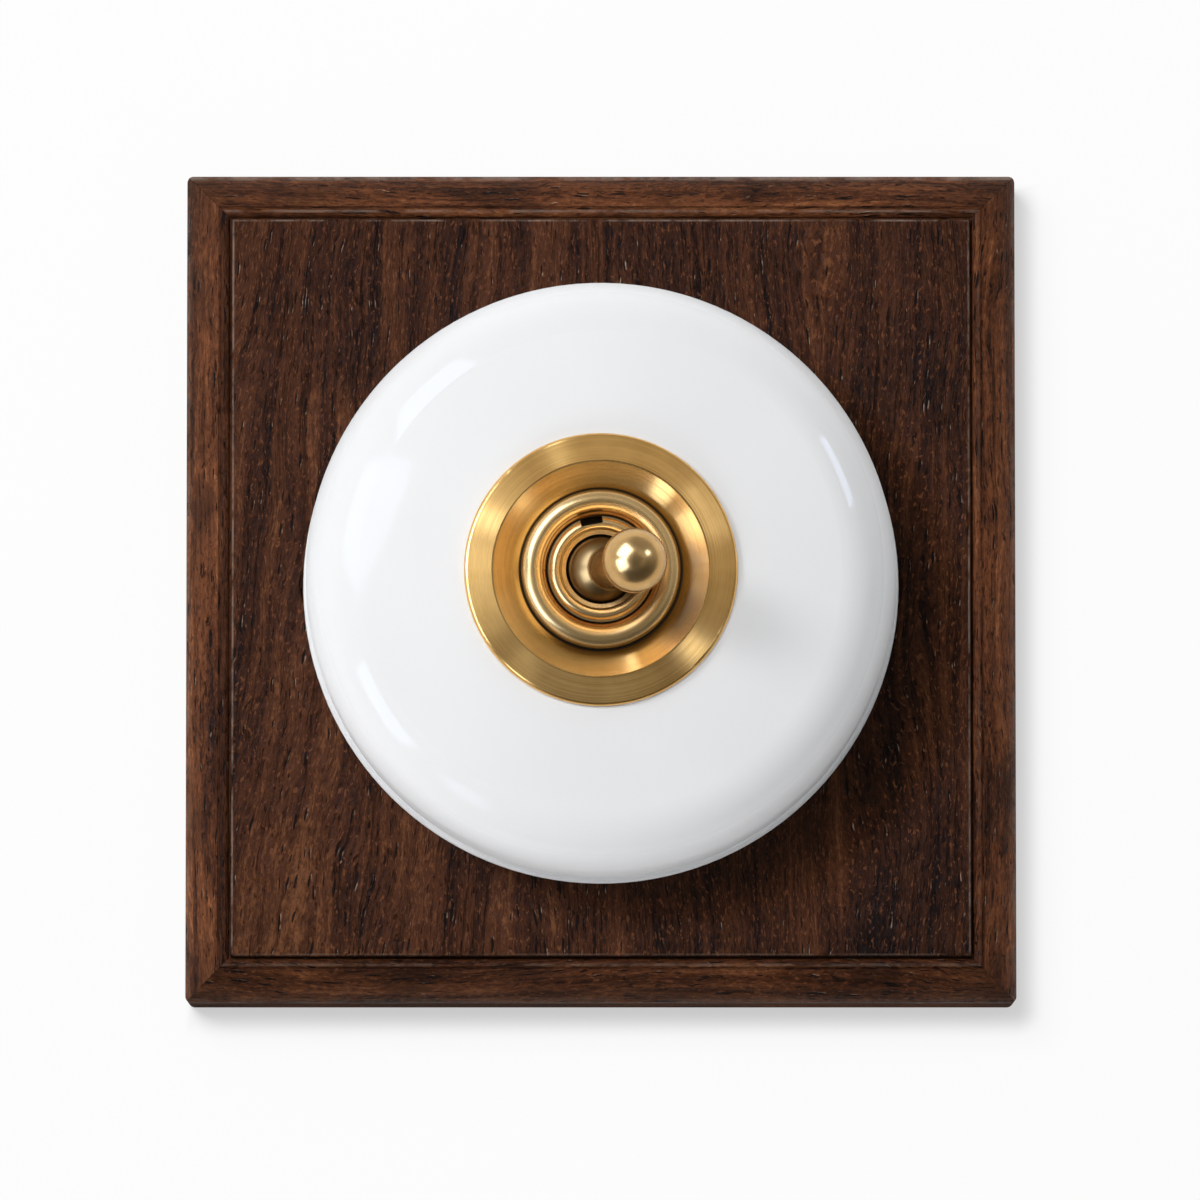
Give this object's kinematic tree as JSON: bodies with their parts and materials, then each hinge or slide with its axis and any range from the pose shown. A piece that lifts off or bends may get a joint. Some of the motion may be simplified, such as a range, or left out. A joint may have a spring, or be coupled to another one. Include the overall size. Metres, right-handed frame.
{
  "type": "dolly light switch",
  "caption": "Surface light switch with a domed white porcelain cover, dished brass bezel and ball-ended brass lever, on a square moulded dark oak pattress.",
  "frame": {"origin": "centre of the pattress's back face, on the wall", "axes": "+Z out of the wall towards the lever, +Y up the wall, +X to the right seen from the front"},
  "size_m": [0.095, 0.095, 0.0545],
  "materials": {
    "oak_panel": "dark stained open-pored oak, satin wax",
    "oak_moulding": "dark stained open-pored oak, satin wax",
    "porcelain": "white glaze, glossy",
    "bisque": "white porcelain, thin glaze",
    "turned_brass": "satin, fine turning lines",
    "lever_brass": "satin polished",
    "contact_brass": "plain",
    "contact_silver": "silvered",
    "steel": "plain",
    "fibre": "dark moulded insulator"
  },
  "bodies": {
    "switch": {"pattress_panel": "oak_panel", "moulding_top": "oak_moulding", "moulding_bottom": "oak_moulding", "moulding_left": "oak_moulding", "moulding_right": "oak_moulding", "porcelain_base": "bisque", "porcelain_cover": "porcelain", "bezel": "turned_brass", "ring_nut": "turned_brass", "threaded_bush": "turned_brass", "pivot_pin": "steel", "bridge": "contact_brass", "bridge_screws": "contact_brass", "rocker_pin": "steel", "fixed_contacts": "contact_silver", "terminal_common": "contact_brass", "terminal_left": "contact_brass", "terminal_right": "contact_brass", "clamp_screws": "contact_brass", "terminal_screws": "contact_brass", "base_screws": "contact_brass"},
    "dolly": {"dolly": "lever_brass", "plunger_spring": "steel"},
    "plunger": {"plunger": "fibre"},
    "rocker": {"rocker": "contact_brass", "moving_contacts": "contact_silver"}
  },
  "joints": [
    {"name": "dolly_tilt", "type": "hinge", "parent": "switch", "child": "dolly", "pos_m": [0, 0, 0.0368], "axis": [0, 1, 0], "range_deg": [-30, 0]},
    {"name": "plunger_slide", "type": "slide", "parent": "dolly", "child": "plunger", "axis": [0.2588, 0, 0.9659], "range_m": [0, 0.0008], "stiffness_N_per_m": 200, "springref_m": -0.002, "deforming": ["plunger_spring"]},
    {"name": "rocker_rock", "type": "hinge", "parent": "switch", "child": "rocker", "pos_m": [0, 0, 0.02266], "axis": [0, 1, 0], "range_deg": [0, 16]}
  ],
  "couplings": [
    {"joint": "rocker_rock", "follows": "dolly_tilt", "ratio": -0.53333}
  ]
}
